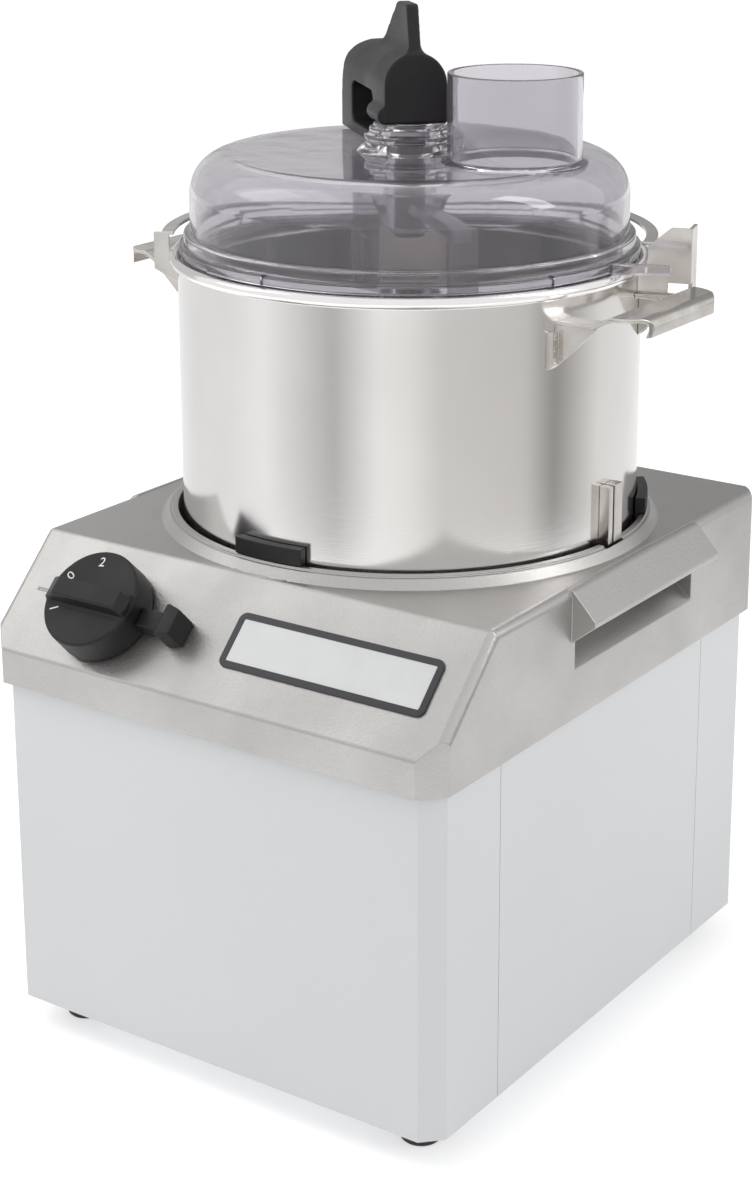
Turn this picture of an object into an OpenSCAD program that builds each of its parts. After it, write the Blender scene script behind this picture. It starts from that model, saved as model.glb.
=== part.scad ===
// Bench food processor: a lift-off steel bowl with a turning knife, driven by a
// vertical motor in a sheet-clad base. Millimetres, +Z up, front towards -Y.
// The origin is on the bench, under the middle of the base.

/* [Bowl] */
// Outer radius of the bowl's wall
bowl_r = 123; // [112:1:135]
// Height of the bowl from its floor to the top of its rim
bowl_h = 165; // [150:1:190]
// Thickness of the bowl's sheet
bowl_t = 1.5; // [1:0.1:2.5]
// Radius of the bead rolled round the rim
bead_r = 3; // [2:0.1:4]
// Radius of the corner between wall and floor
bowl_corner_r = 14; // [8:1:20]
// Half the length of each side handle
handle_half = 44; // [36:1:52]
// Distance from the bowl's wall to the inner edge of a handle
finger_gap = 15; // [12:1:20]
// Width of a handle's plate, from its inner to its outer edge
handle_reach = 28; // [22:1:32]
// Thickness of the handles, gussets and brackets
strap_t = 2; // [1.5:0.1:3]

/* [Base] */
// Height of the rubber feet
foot_h = 17; // [12:1:25]
// Free height between the motor's shaft and the base pan
pan_gap = 23.5; // [18:0.5:40]
// Thickness of the sheet apron and panels
sheet_t = 1.2; // [0.8:0.1:2]
// Height of the casting's upright front skirt
skirt_h = 19.1; // [15:0.1:30]
// Horizontal depth of the sloping front face
slope_run = 51.1; // [46:0.1:60]
// Rise of the sloping front face
slope_rise = 50.6; // [45:0.1:60]
// Wall thickness of the casting
cast_t = 3.2; // [2.5:0.1:4]
// Radius of the casting's long outer edges
edge_r = 5; // [3:0.5:7]
// Width of the chamfers on the casting's upright corners
corner_cut = 12; // [8:0.5:16]
// Depth of the round well that the bowl stands in
well_depth = 20; // [14:0.5:24]
// Radial gap between the bowl and the well
well_gap = 3; // [2.5:0.1:5]
// Radial width of the raised ring round the well
ring_w = 9; // [7:0.5:12]
// Height of the raised ring above the casting's top
ring_h = 6; // [4:0.5:8]

/* [Side grips] */
// Half the length of the lifting grip on each side
grip_half = 65.75; // [45:0.25:70]
// Distance that the grip's lip stands out from the side
grip_out = 13.5; // [11:0.5:16]
// Depth of the pocket below the grip, into the side
pocket_in = 13.6; // [11:0.2:15]

/* [Control dial] */
// Radius of the dial
dial_r = 27.5; // [22:0.5:30]
// Height of the dial's face above the slope
dial_h = 18.8; // [15:0.1:24]
// Reach of the dial's lever tab from its axis
lever_reach = 53; // [46:0.5:58]
// Distance of the dial's axis from the middle, towards the left
dial_left = 75.5; // [68:0.5:80]
// Length of the blank name plate
plate_len = 122; // [90:1:126]
// Width of the blank name plate
plate_w = 30.6; // [22:0.2:36]

/* [Drive] */
// Radius of the drive shaft above the motor
shaft_r = 9; // [8:0.1:11]
// Outer radius of the motor's can
motor_r = 75; // [68:0.5:85]
// Height of the motor's can
motor_h = 138; // [120:1:145]
// Radius swept by the knives
knife_r = 97; // [80:1:100]
// Thickness of a knife blade
blade_t = 2.5; // [1.5:0.1:3.5]
// Height of the knife's hub above the bowl's floor
hub_h = 138; // [125:1:142]

/* [Lid] */
// Distance from the bowl's outside in to the lid's dome
dome_inset = 7; // [6:0.5:11]
// Height of the lid's flat top above the bowl's rim
dome_h = 51.7; // [46:0.1:60]
// Wall thickness of the lid
lid_t = 3; // [2.5:0.1:4]
// Outer radius of the feed chute
chute_r = 34.5; // [30:0.5:36]
// Wall thickness of the feed chute
chute_t = 2.5; // [2:0.1:4]
// Height of the feed chute above the lid's top
chute_h = 45.5; // [35:0.5:60]
// Distance of the feed chute from the bowl's axis
chute_off = 64.6; // [63:0.1:68]

/* [Stirrer] */
// Width of the stirrer's handle
grip_w = 33.5; // [30:0.5:38]
// Length of the stirrer's handle behind the axis
grip_len = 91; // [75:1:95]
// Height of the handle's thumb fin above its top
fin_h = 24; // [16:1:30]
// Radius of the stirrer's shaft
stir_r = 8; // [6:0.5:8.5]

/* [Hidden] */
$fn = 96;

// Clearances that several pieces share
cut = 1;            // overrun of every cut
rest_gap = 0.3;     // between pieces that rest on or beside each other
run_gap = 0.08;     // round a shaft in its bearing
slip_gap = 0.6;     // round a piece that is lifted off
touch_gap = 0.05;   // between a welded or pressed piece and its seat

// Plan of the base, worked out from the bowl
well_r = bowl_r + well_gap;
ring_r = well_r + ring_w;
side_margin = 6.6;
front_margin = 0.7;
rear_margin = 9.8;
cast_x = ring_r + side_margin;
cast_d = slope_run + front_margin + 2 * ring_r + rear_margin;
y_front = -cast_d / 2;
y_rear = cast_d / 2;
y_slope = y_front + slope_run;
bowl_y = y_slope + front_margin + ring_r;
side_lap = 3.6;
end_lap = 5.2;
apron_x = cast_x - side_lap;
apron_y = y_rear - end_lap;
apron_corner = 10;
seam_gap = 0.4;
seam_y = 104;

// Heights; the apron is as high as the motor and its fan need
pan_t = 1.5;
drive_len = 18;
fan_drop = 20;
bell_h = 14;
well_floor_t = 4;
apron_h = pan_t + pan_gap + drive_len + fan_drop + 2 * bell_h + motor_h + well_floor_t + well_depth
    - slope_rise - skirt_h;
z_skirt = foot_h + apron_h;
z_knee = z_skirt + skirt_h;
z_top = z_knee + slope_rise;
z_well = z_top - well_depth;
z_mount = z_well - well_floor_t;
z_floor = z_well + rest_gap;
z_rim = z_floor + bowl_h;
z_lid = z_rim + rest_gap;
z_lid_top = z_rim + dome_h;
slope_a = atan2(slope_rise, slope_run);

// Number of straight steps in a fillet
steps = 6;

// Arc of radius r that rounds the corner b between a and c
function fillet(a, b, c, r) =
    let (
        u = (a - b) / norm(a - b),
        v = (c - b) / norm(c - b),
        half = acos(u * v) / 2,
        m = b + (u + v) / norm(u + v) * r / sin(half),
        p = b + u * r / tan(half) - m,
        start = atan2(p.y, p.x),
        turn = sign(u.y * v.x - u.x * v.y) * (180 - 2 * half)
    )
    [for (i = [0:steps]) m + r * [cos(start + turn * i / steps), sin(start + turn * i / steps)]];

// Outline with its corners rounded by the radii in rs, where 0 keeps a corner sharp
function rounded(pts, rs) =
    let (n = len(pts))
    [for (i = [0:n - 1]) each
        rs[i] > 0 ? fillet(pts[(i + n - 1) % n], pts[i], pts[(i + 1) % n], rs[i]) : [pts[i]]];

module rounded_box(w, d, r)
    polygon(rounded([[-w / 2, -d / 2], [w / 2, -d / 2], [w / 2, d / 2], [-w / 2, d / 2]], [r, r, r, r]));

// Rectangle of half sizes x and y with cut corners
function cut_box(x, y, c) =
    [[-x, -y + c], [-x + c, -y], [x - c, -y], [x, -y + c], [x, y - c], [x - c, y], [-x + c, y], [-x, y - c]];

module along_x(len) rotate([90, 0, 90]) linear_extrude(height = len, center = true) children();
module along_y(len) rotate([90, 0, 0]) linear_extrude(height = len, center = true) children();
module at_bowl() translate([0, bowl_y, 0]) children();
module on_slope(x, s) translate([x, y_front, z_knee]) rotate([slope_a, 0, 0]) translate([0, s, 0]) children();
module ring(r_out, r_in, z, h) translate([0, 0, z]) difference() {
    cylinder(r = r_out, h = h);
    translate([0, 0, -cut]) cylinder(r = r_in, h = h + 2 * cut);
}
module spun(pts) rotate_extrude() polygon(pts);

// Sector of a ring, from angle a0 to angle a1
module sector(r_out, r_in, z, h, a0, a1)
    translate([0, 0, z]) rotate([0, 0, a0]) rotate_extrude(angle = a1 - a0)
        translate([r_in, 0]) square([r_out - r_in, h]);

// Top casting
knee_r = 3;
slope_len = norm([slope_run, slope_rise]);
dial_share = 0.4464;
dial_s = dial_share * slope_len;
index_len = 15;
index_w = 1.3;
index_depth = 0.7;
index_space = 9;
index_rise = 4.4;
lug_notch = 18;
lip_h = 2.7;
lip_round = 1.5;
grip_drop = 14.6;
web_t = 4;
web_foot = 10.7;
pocket_mouth = 25.7;
ramp_rise = 11;
pocket_neck = 8;
pocket_wall = 3;

module cast_side(t, low) {
    k = t * (1 / cos(slope_a) - tan(slope_a));
    b = (slope_rise - t + t / cos(slope_a)) / tan(slope_a);
    pts = [
        [y_front + t, z_skirt - low], [y_rear - t, z_skirt - low], [y_rear - t, z_top - t],
        [y_front + b, z_top - t], [y_front + t, z_knee - k]
    ];
    polygon(t > 0 ? pts : rounded(pts, [0, 0, edge_r, edge_r, knee_r]));
}

module cast_outer() intersection() {
    along_x(2 * cast_x) cast_side(0, 0);
    linear_extrude(height = z_top + cut) polygon(cut_box(cast_x, y_rear, corner_cut));
    along_y(2 * cast_d) polygon(rounded(
        [[-cast_x, z_skirt], [cast_x, z_skirt], [cast_x, z_top], [-cast_x, z_top]], [0, 0, edge_r, edge_r]));
    on_slope(0, 0) along_y(4 * cast_d) polygon(rounded(
        [[-cast_x, -cast_d], [cast_x, -cast_d], [cast_x, 0], [-cast_x, 0]], [0, 0, edge_r, edge_r]));
}

module cast_inner() intersection() {
    along_x(2 * (cast_x - cast_t)) cast_side(cast_t, cut);
    linear_extrude(height = z_top)
        polygon(cut_box(cast_x - cast_t, y_rear - cast_t, corner_cut - cast_t * (2 - sqrt(2))));
}

z_lip = z_top - grip_drop;
module grip_wedge() along_y(2 * grip_half) polygon(rounded([
    [cast_x - cast_t, z_top], [cast_x, z_top], [cast_x + grip_out, z_lip],
    [cast_x + grip_out, z_lip - lip_h], [cast_x, z_lip - lip_h - web_foot],
    [cast_x - cast_t, z_lip - lip_h - web_foot]
], [0, edge_r, lip_round, 0, 0, 0]));

z_mouth = z_lip - lip_h - pocket_mouth;
module grip_cavity() along_y(2 * (grip_half - web_t)) {
    roof = z_top - pocket_neck;
    lip_in = cast_x + grip_out - lip_h;
    neck = cast_x - pocket_neck;
    polygon([
        [lip_in, z_mouth], [cast_x, z_mouth], [cast_x - pocket_in, z_mouth + ramp_rise],
        [cast_x - pocket_in, z_mount - pocket_wall], [neck, z_mount - pocket_wall], [neck, roof],
        [cast_x + grip_out * (pocket_neck - cast_t * sqrt(2)) / grip_drop, roof],
        [lip_in, z_lip - lip_h / 3], [lip_in, z_mouth]
    ]);
}

module pocket_block() along_y(2 * (grip_half - web_t + pocket_wall)) {
    x_in = cast_x - pocket_in - pocket_wall;
    x_out = cast_x - cast_t / 2;
    polygon([[x_out, z_mouth - pocket_wall], [x_in, z_mouth + ramp_rise - pocket_wall],
        [x_in, z_top - cast_t / 2], [x_out, z_top - cast_t / 2]]);
}

module both_sides() {
    at_bowl() children();
    at_bowl() mirror([1, 0, 0]) children();
}

ring_land = 3.4;
ring_step = 1.2;
module well_ring() spun(rounded([
    [well_r, z_top - cast_t], [well_r, z_top + ring_h], [well_r + ring_land, z_top + ring_h],
    [well_r + ring_land, z_top + ring_h - ring_step], [well_r + 0.55 * ring_w, z_top + ring_h - ring_step],
    [ring_r, z_top], [ring_r, z_top - cast_t]
], [0, ring_step / 2, ring_step / 3, 0, ring_step, 0, 0]));

bell_screw_r = 2.6;
bell_edge = 9;
bell_pcd = motor_r - bell_edge;
seal_w = 9;
seal_r = shaft_r + seal_w;
dial_shaft_r = 4;
module top_casting() color([0.78, 0.78, 0.77]) difference() {
    union() {
        difference() {
            cast_outer();
            cast_inner();
        }
        at_bowl() translate([0, 0, z_mount]) cylinder(r = well_r + cast_t, h = z_top - cast_t / 2 - z_mount);
        at_bowl() well_ring();
        both_sides() grip_wedge();
        both_sides() pocket_block();
    }
    at_bowl() translate([0, 0, z_well]) cylinder(r = well_r, h = well_depth + ring_h + cut);
    at_bowl() translate([0, 0, z_mount - cut]) cylinder(r = seal_r, h = well_floor_t + 2 * cut);
    both_sides() grip_cavity();
    at_bowl() bolt_places() translate([0, 0, z_mount - cut])
        cylinder(r = bell_screw_r, h = well_floor_t + 2 * cut, $fn = 32);
    at_bowl() translate([well_r - cut, lug_y - lug_notch / 2, z_well])
        cube([ring_land + 2 * cut, lug_notch, well_depth + ring_h + cut]);
    on_slope(-dial_left, dial_s) translate([0, 0, -2 * cast_t])
        cylinder(r = dial_shaft_r + slip_gap, h = 4 * cast_t, $fn = 48);
    on_slope(-dial_left - dial_r - index_space - index_len, dial_s + index_rise)
        translate([0, 0, -index_depth]) cube([index_len, index_w, cut + index_depth]);
}

// Sheet aprons, side panels and base pan
apron_top = z_skirt + 0.6 * skirt_h;
module apron_outline() difference() {
    polygon(cut_box(apron_x, apron_y, apron_corner));
    polygon(cut_box(apron_x - sheet_t, apron_y - sheet_t, apron_corner - sheet_t * (2 - sqrt(2))));
}

// Strip that backs the seam between an apron and a side panel
pan_flange_h = 16;
backing_w = 14;
module seam_backing() {
    back = rest_gap + sheet_t;
    z_low = foot_h + pan_flange_h + rest_gap;
    translate([apron_x - sheet_t, -seam_y, z_low]) linear_extrude(height = apron_top - z_low) polygon([
        [-back, -backing_w / 2], [touch_gap, -backing_w / 2], [touch_gap, 0], [-rest_gap, 0],
        [-rest_gap, backing_w / 2], [-back, backing_w / 2]
    ]);
}

// Front sheet with its two short returns; the rear one is its mirror image
module apron_part() {
    translate([0, 0, foot_h]) linear_extrude(height = apron_top - foot_h) intersection() {
        apron_outline();
        translate([-apron_x - cut, -apron_y - cut]) square([2 * (apron_x + cut), apron_y + cut - seam_y]);
    }
    seam_backing();
    mirror([1, 0, 0]) seam_backing();
}

module front_apron() color([0.86, 0.87, 0.88]) apron_part();

vent_w = 4;
vent_len = 60;
vent_pitch = 11;
vent_drop = 75;
vent_z = z_skirt - vent_drop;
vent_share = 0.62;
gland_in_x = 50;
gland_x = apron_x - gland_in_x;
gland_up = 43;
gland_z = foot_h + gland_up;
gland_r = 10;
module rear_apron() color([0.86, 0.87, 0.88]) difference() {
    mirror([0, 1, 0]) apron_part();
    for (side = [-1, 1], i = [0:5])
        translate([side * vent_share * vent_len, apron_y, vent_z + i * vent_pitch]) along_y(4 * sheet_t)
            rounded_box(vent_len, vent_w, vent_w / 2.1);
    translate([gland_x, apron_y, gland_z]) rotate([90, 0, 0])
        cylinder(r = gland_r + rest_gap, h = 4 * sheet_t, center = true);
    screw_places() rotate([90, 0, 0])
        cylinder(r = screw_r + rest_gap, h = 4 * sheet_t, center = true, $fn = 32);
}

module side_panel(side) translate([side * (apron_x - sheet_t / 2), 0, (foot_h + apron_top) / 2])
    cube([sheet_t, 2 * (seam_y - seam_gap), apron_top - foot_h], center = true);
module left_side_panel() color([0.87, 0.88, 0.88]) side_panel(-1);
module right_side_panel() color([0.87, 0.88, 0.88]) side_panel(1);

foot_in_x = 27;
foot_in_y = 28.5;
foot_x = apron_x - foot_in_x;
foot_y = apron_y - foot_in_y;
foot_screw_r = 2.5;
module foot_places() for (x = [-1, 1], y = [-1, 1]) translate([x * foot_x, y * foot_y, 0]) children();

module base_pan() color([0.7, 0.71, 0.72]) {
    fit = sheet_t + rest_gap;
    trim = fit * (2 - sqrt(2));
    difference() {
        translate([0, 0, foot_h]) linear_extrude(height = pan_flange_h)
            polygon(cut_box(apron_x - fit, apron_y - fit, apron_corner - trim));
        translate([0, 0, foot_h + pan_t]) linear_extrude(height = pan_flange_h)
            polygon(cut_box(apron_x - fit - pan_t, apron_y - fit - pan_t, apron_corner - trim));
        foot_places() translate([0, 0, foot_h - cut])
            cylinder(r = foot_screw_r + rest_gap, h = pan_t + 2 * cut, $fn = 32);
        for (i = [-4:4]) translate([i * 2 * vent_pitch, bowl_y, foot_h - cut])
            linear_extrude(height = pan_t + 2 * cut) rounded_box(vent_w, vent_len, vent_w / 2.1);
        screw_places() rotate([90, 0, 0])
            cylinder(r = screw_r + rest_gap, h = 8 * sheet_t, center = true, $fn = 32);
    }
}

// Feet and fasteners
foot_top_r = 12.5;
foot_low_r = 10.5;
foot_recess_r = 6;
foot_recess_h = 7;
foot_lip = 1;
module feet() color([0.16, 0.15, 0.16]) foot_places() spun([
    [foot_screw_r + rest_gap, foot_h], [foot_screw_r + rest_gap, foot_recess_h],
    [foot_recess_r, foot_recess_h], [foot_recess_r, 0], [foot_low_r - foot_lip, 0], [foot_low_r, foot_lip],
    [foot_top_r, foot_h - 2 * foot_lip], [foot_top_r, foot_h]
]);

foot_head_r = 5;
foot_head_h = 3.2;
module foot_screws() color([0.72, 0.72, 0.74]) foot_places() {
    z_head = foot_recess_h - foot_head_h;
    translate([0, 0, z_head]) cylinder(r = foot_head_r, h = foot_head_h, $fn = 32);
    translate([0, 0, z_head]) cylinder(r = foot_screw_r, h = foot_h - z_head + 4 * pan_t, $fn = 32);
}

screw_r = 2;
screw_head_r = 4;
screw_head_h = 2.4;
screw_len = 9;
screw_shares = [-0.82, -0.28, 0.28, 0.82];
module screw_places() for (share = screw_shares)
    translate([share * apron_x, apron_y, foot_h + pan_flange_h / 2]) children();
module panel_screws() color([0.75, 0.75, 0.77]) screw_places() rotate([-90, 0, 0]) {
    cylinder(r1 = screw_head_r, r2 = 0.7 * screw_head_r, h = screw_head_h, $fn = 32);
    translate([0, 0, -screw_len]) cylinder(r = screw_r, h = screw_len + screw_head_h / 2, $fn = 32);
}

// Blank plate on the slope
plate_t = 0.8;
plate_rim = 2.2;
plate_rim_h = 0.35;
plate_corner = 2.5;
plate_mid = 63;
plate_share = 0.504;
module name_plate() color([0.88, 0.88, 0.87]) on_slope(plate_mid, plate_share * slope_len) {
    linear_extrude(height = plate_t) rounded_box(plate_len, plate_w, plate_corner);
    linear_extrude(height = plate_t + plate_rim_h) difference() {
        rounded_box(plate_len, plate_w, plate_corner);
        rounded_box(plate_len - 2 * plate_rim, plate_w - 2 * plate_rim, plate_corner / 2);
    }
}

// Three guides that centre the bowl in its well
guide_arc = 18.4;
guide_h = 9;
guide_deep = 14;
guide_hook = 3.2;
module bowl_guides() color([0.12, 0.12, 0.13]) at_bowl() for (a = [-90, 30, 150])
    rotate([0, 0, a - guide_arc / 2]) rotate_extrude(angle = guide_arc) polygon([
        [bowl_r + slip_gap, z_top + ring_h - guide_deep], [well_r - rest_gap, z_top + ring_h - guide_deep],
        [well_r - rest_gap, z_top + ring_h + rest_gap], [well_r + guide_hook, z_top + ring_h + rest_gap],
        [well_r + guide_hook, z_top + ring_h + guide_h], [bowl_r + slip_gap, z_top + ring_h + guide_h]
    ]);

// Motor, hung under the well
can_t = 3;
z_can = z_mount - bell_h - motor_h;
bearing_w = 10;
bearing_r = shaft_r + bearing_w;
bearing_h = 10;
core_r = motor_r - can_t - rest_gap;
core_bore = 0.6 * motor_r;
core_h = 0.7 * motor_h;
z_core = z_can + (motor_h - core_h) / 2;
air_gap = 0.7;
shaft_step = 1;
motor_shaft_r = shaft_r + shaft_step;

module bolt_places() for (a = [45:90:315]) rotate([0, 0, a]) translate([bell_pcd, 0, 0]) children();
module motor_can() color([0.55, 0.57, 0.6]) at_bowl() ring(motor_r, motor_r - can_t, z_can, motor_h);
module stator_core() color([0.45, 0.45, 0.47]) at_bowl() difference() {
    ring(core_r, core_bore, z_core, core_h);
    bolt_places() translate([0, 0, z_core - cut]) cylinder(r = bell_screw_r, h = core_h + 2 * cut, $fn = 32);
}
winding_h = 0.55 * (motor_h - core_h) / 2;
winding_inset = 3;
winding_r = bell_pcd - bell_screw_r - winding_inset;
module stator_windings() color([0.72, 0.42, 0.2]) at_bowl() for (z = [z_core - winding_h, z_core + core_h])
    ring(winding_r, core_bore + winding_inset, z, winding_h);

module end_bell(z, open_z) difference() {
    translate([0, 0, z]) cylinder(r = motor_r, h = bell_h);
    translate([0, 0, open_z]) cylinder(r = bearing_r + touch_gap, h = bearing_h);
    translate([0, 0, z - cut]) cylinder(r = motor_shaft_r + slip_gap, h = bell_h + 2 * cut);
    bolt_places() translate([0, 0, z - cut]) cylinder(r = bell_screw_r, h = bell_h + 2 * cut, $fn = 32);
}
module upper_end_bell() color([0.7, 0.7, 0.71]) at_bowl() end_bell(z_mount - bell_h, z_mount - bell_h);
module lower_end_bell() color([0.7, 0.7, 0.71]) at_bowl() end_bell(z_can - bell_h, z_can - bearing_h);
module bearing(z) ring(bearing_r, motor_shaft_r + run_gap, z, bearing_h);
module upper_bearing() color([0.8, 0.8, 0.82]) at_bowl() bearing(z_mount - bell_h);
module lower_bearing() color([0.8, 0.8, 0.82]) at_bowl() bearing(z_can - bearing_h);
module shaft_seal() color([0.15, 0.14, 0.14]) at_bowl()
    ring(seal_r - touch_gap, shaft_r + rest_gap, z_mount, well_floor_t + rest_gap / 2);

bolt_r = bell_screw_r - rest_gap;
bolt_head_r = 4.5;
bolt_head_h = 4;
module motor_bolts() color([0.6, 0.6, 0.62]) at_bowl() bolt_places()
    translate([0, 0, z_can - bell_h - bolt_head_h]) {
        cylinder(r = bolt_head_r, h = bolt_head_h, $fn = 6);
        cylinder(r = bolt_r, h = bolt_head_h + 2 * bell_h + motor_h + well_floor_t - rest_gap, $fn = 32);
    }

// Electrical pieces on the pan and under the casting
z_pan = foot_h + pan_t;
module on_pan(shares) translate([shares.x * apron_x, shares.y * apron_y, z_pan]) children();
cap_r = 20;
cap_h = 82;
cap_cap_h = 6;
cap_shares = [-0.72, 0.68];
module capacitor() color([0.2, 0.22, 0.26]) on_pan(cap_shares) {
    cylinder(r = cap_r, h = cap_h);
    translate([0, 0, cap_h]) cylinder(r1 = cap_r, r2 = 0.8 * cap_r, h = cap_cap_h);
}
relay_size = [44, 36, 52];
relay_shares = [0.5, -0.76];
module relay() color([0.82, 0.8, 0.72]) on_pan(relay_shares) difference() {
    cube(relay_size);
    for (i = [1:3]) translate([i * relay_size.x / 4, -cut, 0.8 * relay_size.z])
        cube([relay_size.x / 9, relay_size.y / 3, relay_size.z]);
}
block_size = [62, 20, 18];
block_shares = [-0.72, -0.78];
module terminal_block() color([0.86, 0.85, 0.8]) on_pan(block_shares) difference() {
    cube(block_size);
    for (i = [1:5]) translate([i * block_size.x / 6, block_size.y / 2, block_size.z / 2])
        cylinder(r = block_size.x / 24, h = block_size.z, $fn = 24);
}
switch_side = 36;
switch_deep = 38;
module selector_switch() color([0.2, 0.2, 0.21]) on_slope(-dial_left, dial_s) difference() {
    translate([-switch_side / 2, -switch_side / 2, -cast_t - switch_deep])
        cube([switch_side, switch_side, switch_deep - touch_gap]);
    translate([0, 0, -cast_t - 0.85 * switch_deep])
        cylinder(r = dial_shaft_r + run_gap, h = switch_deep, $fn = 48);
}
interlock_size = [26, 26, 34];
module interlock_switch() color([0.75, 0.2, 0.15]) {
    inset = 2 * cast_t + corner_cut;
    translate([cast_x - inset, y_rear - inset, z_top - cast_t] - interlock_size) cube(interlock_size);
}

// Inlet gland at the back
gland_flange_r = 14;
gland_out = 16;
gland_in = 12;
gland_bore = 4.5;
gland_nut_h = 6;
gland_edge = 1;
module cord_gland() color([0.13, 0.13, 0.14])
    translate([gland_x, apron_y, gland_z]) rotate([-90, 0, 0]) difference() {
        spun([
            [0, -gland_in], [gland_r, -gland_in], [gland_r, 0], [gland_flange_r, 0],
            [gland_flange_r, gland_nut_h],
            [gland_flange_r - 1.5 * gland_edge, gland_nut_h + gland_edge],
            [gland_r + gland_edge, gland_out - 3 * gland_edge], [gland_bore + 1.5 * gland_edge, gland_out],
            [0, gland_out]
        ]);
        translate([0, 0, -gland_in - cut])
            cylinder(r = gland_bore, h = gland_in + gland_out + 2 * cut, $fn = 48);
    }

// Turning parts of the drive
tube_wall = 1.5;
tube_gap = 2.5;
tube_bore = shaft_r + tube_gap;
tube_r = tube_bore + tube_wall;
z_hub_top = z_floor + hub_h;
hub_top_t = 6;
drive_r = shaft_r - shaft_step;
drive_flat = 0.75 * drive_r;
z_shoulder = z_hub_top - hub_top_t - drive_len;
z_shaft_low = z_can - bell_h - fan_drop - drive_len;
module two_flats(r, flat, z, h) intersection() {
    translate([0, 0, z]) cylinder(r = r, h = h);
    translate([-flat, -2 * r, z - cut]) cube([2 * flat, 4 * r, h + 2 * cut]);
}
module drive_shaft() color([0.76, 0.77, 0.79]) at_bowl() {
    translate([0, 0, z_shaft_low]) cylinder(r = motor_shaft_r, h = z_mount - z_shaft_low);
    translate([0, 0, z_mount]) cylinder(r = shaft_r, h = z_shoulder - z_mount);
    two_flats(drive_r, drive_flat, z_shoulder, drive_len);
}
module motor_rotor() color([0.5, 0.5, 0.53]) at_bowl()
    ring(core_bore - air_gap, motor_shaft_r + touch_gap, z_core, core_h);
fan_r = 0.8 * motor_r;
fan_hub_w = 8;
fan_hub_r = motor_shaft_r + fan_hub_w;
fan_blades = 8;
fan_blade_t = 2;
shaft_end = 1;
module fan_wheel() difference() {
    union() {
        cylinder(r = fan_hub_r, h = fan_drop);
        cylinder(r = fan_r, h = fan_blade_t);
        for (i = [0:fan_blades - 1]) rotate([0, 0, i * 360 / fan_blades])
            translate([fan_hub_r - cut, -fan_blade_t / 2, 0])
                cube([fan_r - fan_hub_r, fan_blade_t, 0.8 * fan_drop]);
    }
    translate([0, 0, -cut]) cylinder(r = motor_shaft_r + touch_gap, h = fan_drop + 2 * cut);
}
module cooling_fan() color([0.18, 0.18, 0.2]) at_bowl()
    translate([0, 0, z_shaft_low + shaft_end]) fan_wheel();

// Dial on the slope
dial_lift = 0.6;
lever_t = 2.2;
dial_seat = dial_lift + lever_t;
bar_w = 13;
bar_top_w = 10;
bar_h = 7.5;
bar_nose = 9;
dial_edge = 1;
module on_dial() on_slope(-dial_left, dial_s) children();
module dial_knob() color([0.15, 0.14, 0.15]) on_dial() difference() {
    union() {
        spun(rounded([
            [0, dial_seat], [dial_r, dial_seat], [dial_r - 0.4 * dial_edge, dial_h], [0, dial_h]
        ], [0, 0, dial_edge, 0]));
        intersection() {
            along_x(2 * dial_r) polygon([
                [-bar_w / 2, dial_h - dial_edge], [bar_w / 2, dial_h - dial_edge],
                [bar_top_w / 2, dial_h + bar_h], [-bar_top_w / 2, dial_h + bar_h]
            ]);
            along_y(2 * bar_w) polygon(rounded([
                [-dial_r + dial_edge, dial_h - 2 * dial_edge], [dial_r - dial_edge, dial_h - 2 * dial_edge],
                [dial_r - dial_edge, dial_h + bar_h / 3], [dial_r - bar_nose / 2, dial_h + bar_h],
                [-dial_r + bar_nose, dial_h + bar_h], [-dial_r + 2 * dial_edge, dial_h + bar_h / 3]
            ], [0, 0, 0, dial_edge, dial_edge, dial_edge]));
            cylinder(r = dial_r - dial_edge, h = 2 * dial_h);
        }
    }
    translate([0, 0, dial_seat - cut])
        cylinder(r = dial_shaft_r + touch_gap, h = 0.6 * dial_h + cut, $fn = 48);
}
arm_w = 10;
arm_top = 11;
tab_w = 18;
tab_len = 9;
tab_top = 15.5;
module dial_lever() color([0.14, 0.14, 0.14]) on_dial() difference() {
    union() {
        translate([0, 0, dial_lift]) cylinder(r = dial_r - dial_edge, h = lever_t - touch_gap);
        translate([0, -arm_w / 2, dial_lift]) cube([lever_reach - tab_len / 2, arm_w, arm_top - dial_lift]);
        translate([lever_reach - tab_len, -tab_w / 2, dial_lift]) linear_extrude(height = tab_top - dial_lift)
            polygon(rounded([[0, 0], [tab_len, 0.12 * tab_w], [tab_len, 0.88 * tab_w], [0, tab_w]],
                [for (k = [0:3]) dial_edge]));
    }
    translate([0, 0, dial_seat - touch_gap]) cylinder(r = dial_r + rest_gap, h = arm_top);
    translate([0, 0, -cut]) cylinder(r = dial_shaft_r + touch_gap, h = arm_top, $fn = 48);
}
module dial_shaft() color([0.72, 0.73, 0.75]) on_dial() translate([0, 0, -cast_t - 0.8 * switch_deep])
    cylinder(r = dial_shaft_r, h = cast_t + 0.8 * switch_deep + dial_seat + 0.55 * dial_h, $fn = 48);

// Bowl and what is welded to it
module bowl_shell() color([0.78, 0.78, 0.76]) at_bowl() {
    r_in = bowl_r - bowl_t;
    corner_in = bowl_corner_r - bowl_t;
    spun(concat(
        [[tube_bore, z_floor]], fillet([0, z_floor], [bowl_r, z_floor], [bowl_r, z_rim], bowl_corner_r),
        [[bowl_r, z_rim - bead_r], [r_in, z_rim - bead_r]],
        fillet([r_in, z_rim], [r_in, z_floor + bowl_t], [0, z_floor + bowl_t], corner_in),
        [[tube_bore, z_floor + bowl_t]]
    ));
    rotate_extrude() translate([r_in + bead_r, z_rim - bead_r]) circle(r = bead_r, $fn = 24);
}
module centre_tube() color([0.78, 0.78, 0.77]) at_bowl()
    ring(tube_r, tube_bore, z_floor + bowl_t, z_shoulder - z_floor - bowl_t - 2 * rest_gap);

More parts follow.
